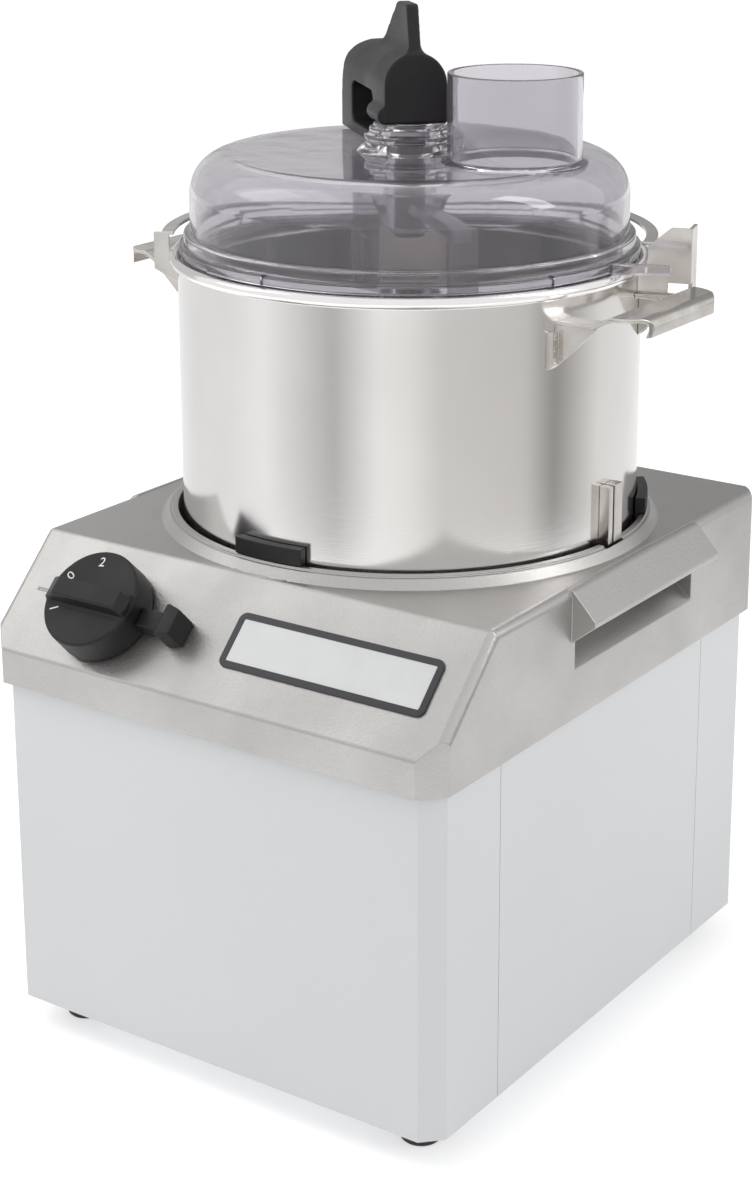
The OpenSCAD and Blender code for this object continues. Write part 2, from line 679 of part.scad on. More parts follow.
// Side handles: a plate with a rolled outer lip on two gussets
plate_in = bowl_r + finger_gap;
plate_out = plate_in + handle_reach;
handle_drop = 11.3;
z_handle = z_rim - handle_drop;
handle_dip = 5;
roll_drop = 10;
gusset_h = 23;
gusset_drop = 6.5;
gusset_top = z_handle - gusset_drop;
handle_arm_w = 13;
handle_corner = 20;
gap_corner = 6;
module handle_profile() polygon(concat(
    rounded([
        [0, gusset_top + touch_gap], [plate_in, z_handle - handle_dip],
        [plate_in + 0.3 * handle_reach, z_handle], [plate_out, z_handle],
        [plate_out - strap_t, z_handle - roll_drop]
    ], [0, 0, 2 * strap_t, 2.5 * strap_t, 0]),
    rounded([
        [plate_out - 2 * strap_t, z_handle - roll_drop], [plate_out - strap_t, z_handle - strap_t],
        [plate_in + 0.3 * handle_reach, z_handle - strap_t], [plate_in, z_handle - handle_dip - strap_t],
        [0, gusset_top - strap_t + touch_gap]
    ], [0, 1.5 * strap_t, strap_t, 0, 0])
));

// Outline of half a slot or plate, seen from above, with its two outer corners rounded
module plan(x, y, r) polygon(rounded([[0, -y], [x, -y], [x, y], [0, y]], [0, r, r, 0]));

module handle_plate() difference() {
    intersection() {
        along_y(2 * handle_half) handle_profile();
        linear_extrude(height = z_rim) plan(plate_out, handle_half, handle_corner);
    }
    linear_extrude(height = z_rim) plan(plate_in, handle_half - handle_arm_w, gap_corner);
    cylinder(r = bowl_r + touch_gap, h = z_rim);
}
module right_handle() color([0.76, 0.76, 0.72]) at_bowl() handle_plate();
module left_handle() color([0.76, 0.76, 0.72]) at_bowl() mirror([1, 0, 0]) handle_plate();

gusset_flange = 7;
gusset_inset = 7.4;
module gusset() difference() {
    foot = bowl_r - gusset_inset;
    union() {
        along_y(strap_t) polygon([
            [0, gusset_top - gusset_h], [foot, gusset_top - gusset_h],
            [plate_in, gusset_top - strap_t],
            [plate_in, z_handle - handle_dip - strap_t - touch_gap], [0, gusset_top - strap_t]
        ]);
        translate([0, gusset_flange / 2 - strap_t / 2, 0]) along_y(gusset_flange) polygon([
            [0, gusset_top - gusset_h], [foot, gusset_top - gusset_h],
            [foot + strap_t, gusset_top - gusset_h + strap_t], [foot + strap_t, gusset_top - 2 * strap_t],
            [0, gusset_top - 2 * strap_t]
        ]);
    }
    translate([0, -gusset_y, gusset_top - 2 * gusset_h]) cylinder(r = bowl_r + touch_gap, h = 3 * gusset_h);
}
gusset_y = handle_half - strap_t;
module handle_gussets() color([0.76, 0.76, 0.75]) at_bowl()
    for (a = [0, 180], side = [0, 1]) rotate([0, 0, a]) mirror([0, side, 0])
        translate([0, gusset_y, 0]) gusset();

// Bracket beside the lid's ear, and the guard behind the lid
bracket_a = 17.5;
bracket_reach = 28;
bracket_out = bowl_r + bracket_reach;
bracket_drop = 16;
z_bracket = z_rim - bracket_drop;
bracket_h = 34;
bracket_top_w = 11;
bracket_step = 16;
bead_out = bowl_r - bowl_t + 2 * bead_r;
fold_len = 14;
fold_drop = 6.5;
guard_t = 2;
guard_off = 8;
guard_r = bowl_r + guard_off;
guard_in = bead_out + rest_gap;
guard_up = 7.7;
z_guard = z_rim + guard_up;
guard_start_a = 18.1;
guard_end_a = 217;
guard_bracket_a = 213;
guard_tail = 5;
module lid_bracket() color([0.74, 0.73, 0.71]) at_bowl() rotate([0, 0, bracket_a]) {
    under_bead = z_rim - 2 * bead_r - rest_gap;
    along_y(strap_t) polygon([
        [bowl_r + touch_gap, z_bracket], [bowl_r + bracket_step, z_bracket],
        [bowl_r + bracket_step, z_handle + slip_gap], [bracket_out, z_handle + slip_gap],
        [bracket_out, z_bracket + bracket_h], [bracket_out - bracket_top_w, z_bracket + bracket_h],
        [guard_in + touch_gap, z_guard], [guard_in + touch_gap, under_bead], [bowl_r + touch_gap, under_bead]
    ]);
    z_fold = z_handle + slip_gap;
    translate([bracket_out - strap_t, strap_t / 2 - touch_gap, z_fold])
        cube([strap_t, fold_len, z_bracket + bracket_h - z_fold]);
    translate([bracket_out - strap_t, 1.5 * strap_t, z_fold - fold_drop])
        cube([strap_t, fold_len - strap_t, 2 * fold_drop]);
}
module guard_bracket() color([0.74, 0.73, 0.71]) at_bowl() rotate([0, 0, guard_bracket_a])
    along_y(strap_t) polygon([
        [bowl_r + touch_gap, z_bracket - 2 * strap_t], [guard_r + guard_tail, z_bracket + 2 * strap_t],
        [guard_r + guard_tail, z_guard - touch_gap], [guard_in, z_guard - touch_gap],
        [guard_in, z_rim - 2 * bead_r - rest_gap], [bowl_r + touch_gap, z_rim - 2 * bead_r - rest_gap]
    ]);
module rear_guard() color([0.72, 0.72, 0.71]) at_bowl()
    sector(guard_r, flange_r + lock_out + slip_gap, z_guard, guard_t, guard_start_a, guard_end_a);

// Twin bars that locate the bowl in the notch of the ring
lug_out = 6;
lug_widths = [4, 8];
lug_split = 1.6;
lug_h = 44;
z_lug = z_top - 0.4 * well_depth;
lug_y = -3;
module locating_lugs() color([0.68, 0.67, 0.62]) at_bowl() difference() {
    for (i = [0, 1]) translate([0, lug_y - lug_split / 2 + (i == 0 ? -lug_widths[0] : lug_split), z_lug])
        cube([bowl_r + lug_out, lug_widths[i], lug_h]);
    translate([0, 0, z_lug - cut]) cylinder(r = bowl_r + touch_gap, h = lug_h + 2 * cut);
}

// Knife
hub_bore = tube_r + slip_gap;
hub_wall = 6;
hub_r = hub_bore + hub_wall;
hub_foot = 4;
z_hub = z_floor + bowl_t + hub_foot;
socket_gap = 0.1;
blade_heights = [1, 30];
z_blades = [z_hub + blade_heights[0], z_hub + blade_heights[1]];
module knife_hub() color([0.9, 0.89, 0.85]) at_bowl() difference() {
    spun(rounded([
        [0, z_hub], [hub_r, z_hub], [hub_r, z_hub_top - 4 * hub_wall],
        [hub_r - 0.4 * hub_wall, z_hub_top], [0, z_hub_top]
    ], [0, 0, 2 * hub_wall, hub_wall / 2, 0]));
    translate([0, 0, z_hub - cut]) cylinder(r = hub_bore, h = z_shoulder + rest_gap - z_hub + cut);
    two_flats(drive_r + socket_gap, drive_flat + socket_gap, z_shoulder, drive_len + rest_gap);
    for (z = z_blades) difference() {
        translate([0, 0, z - touch_gap]) cylinder(r = hub_r + cut, h = blade_t + 2 * touch_gap);
        translate([0, 0, z - cut]) cylinder(r = hub_r - hub_wall / 2, h = blade_t + 2 * cut);
    }
}

// One blade: a collar and two crescents that sweep back against the turn
blade_root = 30;
blade_angles = [20, 110];
module blade(z, a) translate([0, 0, z]) rotate([0, 0, a]) linear_extrude(height = blade_t) difference() {
    union() {
        circle(r = hub_r + hub_wall / 2);
        for (s = [0, 180]) rotate([0, 0, s]) intersection() {
            difference() {
                translate([0, -knife_r / 2]) circle(r = knife_r / 2 + blade_root / 2);
                translate([-blade_root, -knife_r / 2 + blade_root / 4]) circle(r = knife_r / 2);
                translate([-knife_r, -knife_r]) square([knife_r, 2 * knife_r]);
            }
            circle(r = knife_r);
        }
    }
    circle(r = hub_r - hub_wall / 2 + touch_gap);
}
module lower_blade() color([0.8, 0.8, 0.82]) at_bowl() blade(z_blades[0], blade_angles[0]);
module upper_blade() color([0.8, 0.8, 0.82]) at_bowl() blade(z_blades[1], blade_angles[1]);

knife_cap_h = 12;
module knife_cap() color([0.14, 0.14, 0.15]) at_bowl() spun(rounded([
    [0, z_hub_top], [hub_r - hub_wall, z_hub_top], [hub_r - 0.7 * hub_wall, z_hub_top + knife_cap_h],
    [0, z_hub_top + knife_cap_h]
], [0, 0, hub_wall / 2, 0]));

// Lid
dome_r = bowl_r - dome_inset;
flange_inset = 1;
flange_r = bowl_r - flange_inset;
flange_t = 4.4;
step_w = 2.5;
step_r = flange_r - step_w;
step_h = 10.2;
shoulder_r = 21;
spigot_gap = 0.9;
spigot_r = bowl_r - bowl_t - spigot_gap;
spigot_t = 4.6;
spigot_h = 11.6;
seal_h = 3;
seal_depth = 1.6;
seal_drop = 6.5;
seal_z = z_lid - seal_drop;
collar_r = 27;
collar_top_r = 19;
collar_h = 15;
collar_lip = 2.4;
boss_r = 14;
boss_h = 13;
stir_bore = stir_r + rest_gap;
hub_seal_r = 2;
z_hub_seal = z_lid_top + 0.6 * collar_h;
z_collar = z_lid_top + collar_h;

lock_arc = 19;
lock_out = 2;
lock_h = 5.4;
ear_len = 36;
ear_t = 5;
ear_a = 35;
ear_h = 7;
ear_drop = 2.4;
ear_root = 2;
ear_start_a = -2;
ear_tip_share = 0.55;
module lid_ear() rotate([0, 0, ear_start_a]) translate([step_r - ear_root, 0, z_lid]) rotate([0, 0, ear_a]) {
    tip = ear_tip_share * ear_len;
    translate([0, -ear_t / 2, 0]) cube([ear_len, ear_t, ear_h - ear_drop]);
    translate([ear_len - tip, -ear_t / 2, -ear_drop]) cube([tip, ear_t, ear_h]);
}

module lid_shell() color([0.72, 0.7, 0.76, 0.4]) at_bowl() difference() {
    dome_in = dome_r - lid_t;
    union() {
        spun(concat(
            [
                [stir_bore, z_lid_top - lid_t - boss_h], [boss_r, z_lid_top - lid_t - boss_h],
                [boss_r, z_lid_top - lid_t]
            ],
            fillet([0, z_lid_top - lid_t], [dome_in, z_lid_top - lid_t], [dome_in, z_lid],
                shoulder_r - lid_t),
            [
                [dome_in, z_lid + flange_t], [spigot_r - spigot_t, z_lid],
                [spigot_r - spigot_t, z_lid - spigot_h],
                [spigot_r, z_lid - spigot_h], [spigot_r, seal_z - rest_gap],
                [spigot_r - seal_depth, seal_z - rest_gap],
                [spigot_r - seal_depth, seal_z + seal_h + rest_gap], [spigot_r, seal_z + seal_h + rest_gap],
                [spigot_r, z_lid], [flange_r, z_lid], [flange_r, z_lid + flange_t],
                [step_r, z_lid + flange_t], [step_r, z_lid + step_h], [dome_r, z_lid + step_h]
            ],
            fillet([dome_r, z_lid], [dome_r, z_lid_top], [0, z_lid_top], shoulder_r),
            [
                [collar_r, z_lid_top], [collar_r, z_lid_top + collar_lip], [collar_top_r, z_collar],
                [stir_bore, z_collar],
                [stir_bore, z_hub_seal + hub_seal_r], [stir_bore + hub_seal_r, z_hub_seal + hub_seal_r],
                [stir_bore + hub_seal_r, z_hub_seal - rest_gap], [stir_bore, z_hub_seal - rest_gap]
            ]
        ));
        for (a = [-21, 69, 159, 249])
            sector(flange_r + lock_out, step_r - 2 * lock_out, z_lid, lock_h, a, a + lock_arc);
        lid_ear();
    }
    translate([chute_off, 0, z_lid_top - 2 * lid_t]) cylinder(r = chute_r + touch_gap, h = 4 * lid_t);
}
module lid_seal() color([0.85, 0.85, 0.86]) at_bowl()
    ring(bowl_r - bowl_t - rest_gap, spigot_r - seal_depth + rest_gap, seal_z, seal_h);
module hub_seal() color([0.2, 0.2, 0.2]) at_bowl()
    ring(stir_bore + hub_seal_r - touch_gap, stir_r + run_gap, z_hub_seal, hub_seal_r - rest_gap);

chute_foot = 3.5;
chute_foot_h = 1.6;
module feed_chute() color([0.76, 0.75, 0.8, 0.35]) at_bowl() translate([chute_off, 0, 0]) spun([
    [chute_r - chute_t, z_lid_top - lid_t], [chute_r, z_lid_top - lid_t],
    [chute_r, z_lid_top + touch_gap], [chute_r + chute_foot, z_lid_top + touch_gap],
    [chute_r, z_lid_top + chute_foot_h], [chute_r, z_lid_top + chute_h],
    [chute_r - chute_t, z_lid_top + chute_h]
]);

// Stirrer, turned by hand through the lid
stir_a = 138;
z_grip = z_collar + rest_gap;
grip_h = 37;
grip_front = 14;
fin_t = 6.4;
fin_flare = 6;
flare_sink = 0.15;
fin_foot = 48;
fin_ridge = 15;
fin_lean = 8;
arm_thick = 23;
leg_t = 26;
base_bar_h = 6;
nub_out = 3.6;
nub_h = 9.5;
grip_arch = 34;
loop_r = 5;
loop_low_r = 2;
fin_crest_r = 8;
fin_front_r = 2;
z_grip_top = z_grip + grip_h;
z_bar = z_lid_top + 2 * slip_gap;
grip_r = grip_w / 2;
z_mid = z_grip_top - grip_r;
flare_x = fin_t / 2 + fin_flare;
z_flare = z_mid + sqrt(pow(grip_r + fin_flare, 2) - pow(flare_x, 2)) - flare_sink;
module on_stirrer() at_bowl() rotate([0, 0, stir_a]) children();

// Omega section across the handle
module grip_section() {
    translate([0, z_mid]) circle(r = grip_r);
    translate([-grip_r, z_bar - cut]) square([grip_w, z_mid - z_bar + cut]);
}
// Fin whose root flares into the grip's round top, seen along the handle
module fin_section() difference() {
    wing = flare_x * grip_r / (grip_r + fin_flare);
    translate([-wing, z_mid]) square([2 * wing, z_grip_top + fin_h - z_mid]);
    for (s = [-1, 1]) {
        translate([s * flare_x, z_flare]) circle(r = fin_flare);
        translate([s * flare_x - fin_flare, z_flare]) square([2 * fin_flare, 2 * fin_h]);
    }
}
module stirrer_handle() color([0.15, 0.14, 0.15]) on_stirrer() difference() {
    union() {
        intersection() {
            rotate([90, 0, 90]) translate([0, 0, -grip_front])
                linear_extrude(height = grip_len + grip_front) grip_section();
            along_y(2 * grip_w) difference() {
                polygon(rounded([
                    [-grip_front, z_grip], [collar_r, z_grip], [collar_r + 2 * slip_gap, z_bar],
                    [grip_len, z_bar], [grip_len, z_grip_top], [-grip_front, z_grip_top]
                ], [2 * slip_gap, 0, 0, slip_gap, grip_arch, 2 * slip_gap]));
                polygon(rounded([
                    [grip_front, z_bar + base_bar_h], [grip_len - leg_t, z_bar + base_bar_h],
                    [grip_len - leg_t, z_grip_top - arm_thick], [grip_front, z_grip_top - arm_thick]
                ], [loop_low_r, loop_r, loop_r, loop_r]));
                translate([-cut, z_bar - cut]) square([collar_r + cut, z_grip - z_bar + cut]);
            }
        }
        intersection() {
            rotate([90, 0, 90]) translate([0, 0, -grip_front])
                linear_extrude(height = grip_len) fin_section();
            along_y(2 * grip_w) polygon(rounded([
                [-grip_front, z_grip_top - grip_w / 3], [fin_foot, z_grip_top - grip_w / 3],
                [fin_foot, z_grip_top - flare_sink], [fin_ridge, z_grip_top + fin_h],
                [-grip_front + fin_lean, z_grip_top + fin_h], [-grip_front, z_grip_top - fin_flare]
            ], [0, 0, 0, fin_crest_r, fin_front_r, 0]));
        }
        translate([-grip_front + slip_gap, grip_r + nub_out - nub_h / 2, z_grip + nub_h / 2])
            rotate([0, 90, 0]) cylinder(r = nub_h / 2, h = 2 * (grip_front - slip_gap), $fn = 32);
    }
    translate([0, 0, z_grip - cut]) cylinder(r = stir_r + touch_gap, h = 0.6 * grip_h + cut);
}
stir_hub_h = 24;
z_stir_hub = z_lid_top - lid_t - boss_h - rest_gap - stir_hub_h;
ring_t = 1.6;
ring_out = 4;
module stirrer_shaft() color([0.76, 0.77, 0.79]) on_stirrer() difference() {
    translate([0, 0, z_stir_hub - 3 * ring_t])
        cylinder(r = stir_r, h = z_grip + 0.55 * grip_h - z_stir_hub + 3 * ring_t);
    ring(stir_r + cut, stir_r - ring_t, z_stir_hub - ring_t - touch_gap, ring_t);
}
module retaining_ring() color([0.6, 0.6, 0.62]) on_stirrer()
    ring(stir_r + ring_out, stir_r - ring_t + touch_gap, z_stir_hub - ring_t, ring_t - touch_gap);

// Scraper: two arms under the lid with legs down the bowl's wall
arm_h = 7;
scraper_arm_w = 10;
leg_w = 14;
leg_thick = 6;
wiper_t = 3;
wiper_w = 10.5;
wiper_gap = 2;
wiper_drop = 4;
leg_out = bowl_r - bowl_t - wiper_gap - wiper_w;
leg_gap = 6;
z_leg = z_floor + bowl_t + leg_gap;
arm_drop = 6;
z_arm = z_stir_hub + stir_hub_h - arm_h - arm_drop;
stir_hub_r = 22;
module scraper_arm() color([0.16, 0.15, 0.16]) on_stirrer() difference() {
    union() {
        translate([0, 0, z_stir_hub]) cylinder(r1 = boss_r, r2 = stir_hub_r, h = stir_hub_h);
        for (s = [0, 180]) rotate([0, 0, s]) {
            translate([0, -scraper_arm_w / 2, z_arm]) cube([leg_out - leg_thick / 2, scraper_arm_w, arm_h]);
            translate([leg_out - leg_thick, -leg_w / 2, z_leg])
                cube([leg_thick, leg_w, z_arm + arm_h - z_leg]);
        }
    }
    translate([0, 0, z_stir_hub - cut]) cylinder(r = stir_r + touch_gap, h = stir_hub_h + 2 * cut);
}
z_wiper_top = z_lid - spigot_h - wiper_drop;
module scraper_blades() color([0.85, 0.84, 0.8]) on_stirrer() for (s = [0, 180]) rotate([0, 0, s])
    translate([leg_out + touch_gap, -wiper_t / 2, z_leg]) cube([wiper_w, wiper_t, z_wiper_top - z_leg]);

top_casting();
front_apron();
rear_apron();
left_side_panel();
right_side_panel();
base_pan();
feet();
foot_screws();
panel_screws();
name_plate();
bowl_guides();
motor_can();
stator_core();
stator_windings();
upper_end_bell();
lower_end_bell();
upper_bearing();
lower_bearing();
shaft_seal();
motor_bolts();
capacitor();
relay();
terminal_block();
selector_switch();
interlock_switch();
cord_gland();
drive_shaft();
motor_rotor();
cooling_fan();
dial_knob();
dial_lever();
dial_shaft();
bowl_shell();
centre_tube();
right_handle();
left_handle();
handle_gussets();
lid_bracket();
guard_bracket();
rear_guard();
locating_lugs();
knife_hub();
lower_blade();
upper_blade();
knife_cap();
lid_seal();
lid_shell();
feed_chute();
hub_seal();
stirrer_handle();
stirrer_shaft();
scraper_arm();
scraper_blades();
retaining_ring();
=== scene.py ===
# %% [markdown]
# # A bench food processor
# The machine is a cast aluminium top on a base of enamelled sheet. A spun steel bowl stands in the
# top, closed by a clear lid with a feed chute and a hand-turned stirrer. The imported CAD model gives
# every piece its place, so it is loaded first.

# %% Load the frame
from math import cos, radians, sin

import bmesh
import bpy
from mathutils import Matrix, Vector


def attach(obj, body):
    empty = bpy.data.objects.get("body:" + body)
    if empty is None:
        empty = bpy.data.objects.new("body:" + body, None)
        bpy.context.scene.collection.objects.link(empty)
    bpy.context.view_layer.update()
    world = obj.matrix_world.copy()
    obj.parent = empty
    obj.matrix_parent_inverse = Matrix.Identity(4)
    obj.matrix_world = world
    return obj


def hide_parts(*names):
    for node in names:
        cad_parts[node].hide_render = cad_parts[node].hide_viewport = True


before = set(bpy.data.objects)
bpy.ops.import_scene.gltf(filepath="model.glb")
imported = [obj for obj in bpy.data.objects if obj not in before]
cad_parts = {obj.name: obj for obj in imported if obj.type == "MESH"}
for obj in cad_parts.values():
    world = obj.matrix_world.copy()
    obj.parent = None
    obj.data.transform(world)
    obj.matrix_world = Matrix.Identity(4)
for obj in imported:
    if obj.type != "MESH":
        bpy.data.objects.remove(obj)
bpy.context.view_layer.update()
MM = 0.001

# %% [markdown]
# The camera comes next, because it decides what has to look right. Its place, tilt and lens were
# solved from the straight edges and ellipses in the photograph. A small shift stands in for the
# part of the picture's keystone that tilt alone doesn't give.

# %% Camera
lens = bpy.data.cameras.new("camera")
lens.sensor_fit = "VERTICAL"
lens.sensor_height = 36
lens.lens = 71.11
lens.shift_x = -0.03
lens.shift_y = -0.139
lens.clip_start = 0.05
camera = bpy.data.objects.new("camera", lens)
camera.location = Vector((695.88, -1001.69, 662.45)) * MM
camera.rotation_euler = (radians(90 - 15.79), 0, radians(34.18))
bpy.context.scene.collection.objects.link(camera)
bpy.context.scene.camera = camera
print("camera at", tuple(round(c, 3) for c in camera.location))

# %% [markdown]
# Two helpers serve every material. Colours are written as the sRGB hex values of a colour picker,
# and shaders want linear light, so one function converts them. The other adds a shader node with
# its settings and its links, which keeps each material down to the few lines that matter.

# %% Colour and node helpers
def colour(code):
    """Linear RGBA of an sRGB hex code such as #C8C8C4."""
    parts = [int(code[i:i + 2], 16) / 255 for i in (1, 3, 5)]
    return (*[p / 12.92 if p <= 0.04045 else ((p + 0.055) / 1.055) ** 2.4 for p in parts], 1)


def add(material, kind, settings=None, links=None):
    """Adds a shader node, sets its fields and inputs, and links outputs to its inputs."""
    made = material.node_tree.nodes.new("ShaderNode" + kind)
    for key, value in (settings or {}).items():
        if isinstance(key, str) and key not in made.inputs:
            setattr(made, key, value)
        else:
            made.inputs[key].default_value = value
    for key, output in (links or {}).items():
        material.node_tree.links.new(output, made.inputs[key])
    return made


# %% [markdown]
# Most finishes on this machine are one base colour that drifts a little over some centimetres, a
# roughness that drifts with it, and a fine grain that the making left. Blast marks, a mould's
# eroded skin and brush lines differ only in the size, depth and stretch of that grain. So one
# recipe takes these in millimetres, and the finishes that need more add their own nodes to it.

# %% The common recipe of a finish
def finish(name, base, drift, rough, grain, depth, metal=0, stretch=(1, 1, 1), patch=40, detail=4):
    """Material going from base to drift in patches `patch` mm wide, with a grain `grain` mm wide
    and `depth` mm deep. rough holds the lowest and highest roughness."""
    made = bpy.data.materials.new(name)
    made.use_nodes = True
    shader = made.node_tree.nodes["Principled BSDF"]
    shader.inputs["Metallic"].default_value = metal
    links = made.node_tree.links
    where = add(made, "TexCoord").outputs["Object"]
    cloud = add(made, "TexNoise", {"Scale": 1 / (patch * MM), "Detail": 3}, {"Vector": where})
    share = add(made, "MapRange", {"From Min": 0.35, "From Max": 0.65}, {"Value": cloud.outputs["Fac"]})
    tint = add(made, "Mix", {"data_type": "RGBA", 6: colour(base), 7: colour(drift)},
               {0: share.outputs["Result"]})
    links.new(tint.outputs[2], shader.inputs["Base Color"])
    run = add(made, "Mapping", {"Scale": stretch}, {"Vector": where})
    fine = add(made, "TexNoise", {"Scale": 1 / (grain * MM), "Detail": detail},
               {"Vector": run.outputs["Vector"]})
    dull = add(made, "Math", {"operation": "MULTIPLY"}, {0: share.outputs["Result"], 1: fine.outputs["Fac"]})
    spread = add(made, "MapRange", {"To Min": rough[0], "To Max": rough[1], "From Max": 0.7},
                 {"Value": dull.outputs["Value"]})
    links.new(spread.outputs["Result"], shader.inputs["Roughness"])
    bump = add(made, "Bump", {"Distance": depth * MM}, {"Height": fine.outputs["Fac"]})
    bump.name = "Grain"
    links.new(bump.outputs["Normal"], shader.inputs["Normal"])
    return made


# %% [markdown]
# The casting is aluminium, blasted with shot after casting. The shot leaves overlapping dents a
# few tenths of a millimetre across, which scatter light softly and sparkle at their rims. The real
# dents are too fine for the picture, so the grain is drawn about 1.3 mm wide. The rims between the
# dents get painted shade: a darker colour that stands in for the shading of the dents, so that the
# grain shows under even light too.

# %% Shot-blasted cast aluminium
cast = finish("shot_blasted_aluminium", "#BCBAB8", "#B4B2B0", (0.33, 0.44), 1.3, 0.11, metal=1, patch=60)
dents = add(cast, "TexVoronoi", {"Scale": 1 / (1.2 * MM), "feature": "F1"},
            {"Vector": cast.node_tree.nodes["Mapping"].outputs["Vector"]})
pits = add(cast, "Bump", {"Distance": 0.05 * MM, "invert": True},
           {"Height": dents.outputs["Distance"], "Normal": cast.node_tree.nodes["Grain"].outputs["Normal"]})
cast_shader = cast.node_tree.nodes["Principled BSDF"]
cast.node_tree.links.new(pits.outputs["Normal"], cast_shader.inputs["Normal"])
# Painted shade: the rims between the dents are mixed towards a darker grey in the base colour.
painted_dent_shade = add(cast, "MapRange", {"From Min": 0.2, "From Max": 0.9, "To Max": 0.2},
           {"Value": dents.outputs["Distance"]})
cloudy = cast_shader.inputs["Base Color"].links[0].from_socket
speckled_with_painted_shade = add(cast, "Mix", {"data_type": "RGBA", 7: colour("#A3A2A0")},
               {0: painted_dent_shade.outputs["Result"], 6: cloudy})
cast.node_tree.links.new(speckled_with_painted_shade.outputs[2], cast_shader.inputs["Base Color"])

# %% [markdown]
# The apron and side panels are steel sheet under white baked enamel. It is smooth and half glossy,
# with the faint orange peel of a sprayed coat, which is about 2 mm wide and only microns high.

# %% White enamel on sheet
enamel = finish("baked_white_enamel", "#DEE0E1", "#DCDEDF", (0.29, 0.31), 2.2, 0.002, patch=160, detail=1)
enamel.node_tree.nodes["Principled BSDF"].inputs["Coat Weight"].default_value = 0.25
enamel.node_tree.nodes["Principled BSDF"].inputs["Coat Roughness"].default_value = 0.12

# %% [markdown]
# The bowl is spun from stainless sheet and polished on the turning lathe. The polish leaves rings
# round the bowl that are far finer than a millimetre: they smear each reflection up and down, and
# leave it sharp from side to side. A grain stretched along the rings does the same, so it is
# squeezed in height. It is drawn 0.5 mm wide, as coarse as it needs to show.

# %% Polished spun stainless steel
bowl_steel = finish("spun_stainless_steel", "#EDEBEA", "#E7E5E4", (0.12, 0.18), 0.5, 0.01, metal=1,
                    stretch=(0.02, 0.02, 1), patch=70)
strap_steel = finish("tumbled_stainless_strip", "#D7D4D1", "#C9C5BF", (0.13, 0.24), 0.6, 0.02, metal=1,
                     stretch=(1, 0.06, 1), patch=16)
blade_steel = finish("ground_knife_steel", "#D8D8DA", "#CFCFD2", (0.12, 0.24), 0.4, 0.02, metal=1,
                     stretch=(1, 0.04, 1), patch=25)
bearing_steel = finish("turned_bearing_steel", "#C4C5C8", "#B9BABD", (0.18, 0.3), 0.4, 0.01, metal=1,
                       stretch=(0.05, 0.05, 1), patch=20)
zinc = finish("zinc_plated_steel", "#C2C3C4", "#B3B5B0", (0.26, 0.4), 0.5, 0.02, metal=1, patch=4)
mill_sheet = finish("mill_finish_aluminium", "#B9BBBD", "#AFB1B4", (0.3, 0.42), 0.7, 0.015, metal=1,
                    stretch=(0.05, 1, 1), patch=60)
lamination = finish("stacked_core_steel", "#6F7074", "#5C5D62", (0.35, 0.5), 0.65, 0.06, metal=1,
                    stretch=(0.03, 0.03, 1), patch=30)

# %% [markdown]
# The black pieces are glass-filled nylon from a spark-eroded mould. Its skin is a mat of tiny
# craters, so it is dark grey rather than black where light grazes it, and never mirror-like.

# %% Moulded plastics and rubber
black = finish("eroded_black_nylon", "#1E1C1E", "#191719", (0.38, 0.52), 0.7, 0.03, patch=30)
black.node_tree.nodes["Principled BSDF"].inputs["Specular IOR Level"].default_value = 0.32
rubber = finish("moulded_rubber", "#211E22", "#2A262B", (0.55, 0.72), 0.9, 0.04, patch=12)
hub_nylon = finish("ivory_acetal", "#E3E0D5", "#DBD7CA", (0.3, 0.42), 0.8, 0.015, patch=25)
pale_plastic = finish("cream_urea_plastic", "#D8D3C2", "#CFC9B6", (0.35, 0.45), 0.6, 0.02, patch=20)
red_plastic = finish("red_switch_plastic", "#B5382C", "#A53126", (0.32, 0.42), 0.6, 0.02, patch=15)
silicone = finish("translucent_silicone", "#DCDCDE", "#D2D3D7", (0.35, 0.48), 1.0, 0.02, patch=15)
silicone.node_tree.nodes["Principled BSDF"].inputs["Subsurface Weight"].default_value = 0.2
silicone.node_tree.nodes["Principled BSDF"].inputs["Subsurface Scale"].default_value = 2 * MM
motor_paint = finish("hammered_grey_paint", "#7C8187", "#6C7178", (0.3, 0.42), 2.5, 0.15, patch=9)
copper = finish("enamelled_copper_wire", "#B4662F", "#9A4F20", (0.22, 0.34), 0.9, 0.25, metal=1,
                stretch=(0.1, 0.1, 1), patch=10)
badge_face = finish("anodised_badge_face", "#D9DBDA", "#D2D4D3", (0.3, 0.38), 0.4, 0.008,
                    stretch=(0.04, 1, 1), patch=30)
badge_edge = finish("printed_badge_border", "#26252A", "#2D2C31", (0.3, 0.4), 0.6, 0.008, patch=20)
print_white = finish("printed_white_ink", "#EDEDEB", "#E3E3E1", (0.4, 0.5), 0.5, 0.01, patch=5)

# %% [markdown]
# The lid and chute are injection-moulded polycarbonate: clear, with a violet-grey tint that shows
# where light runs along the wall, as in the flanges. It bends light with an IOR of 1.58, and
# washing has scuffed its skin, so a little of the light scatters and veils what is inside. The
# renderer lets no lamp light through a bending surface, so for shadow rays alone the wall is
# plain tinted glass, as it is for thin clear plastic in a real kitchen.

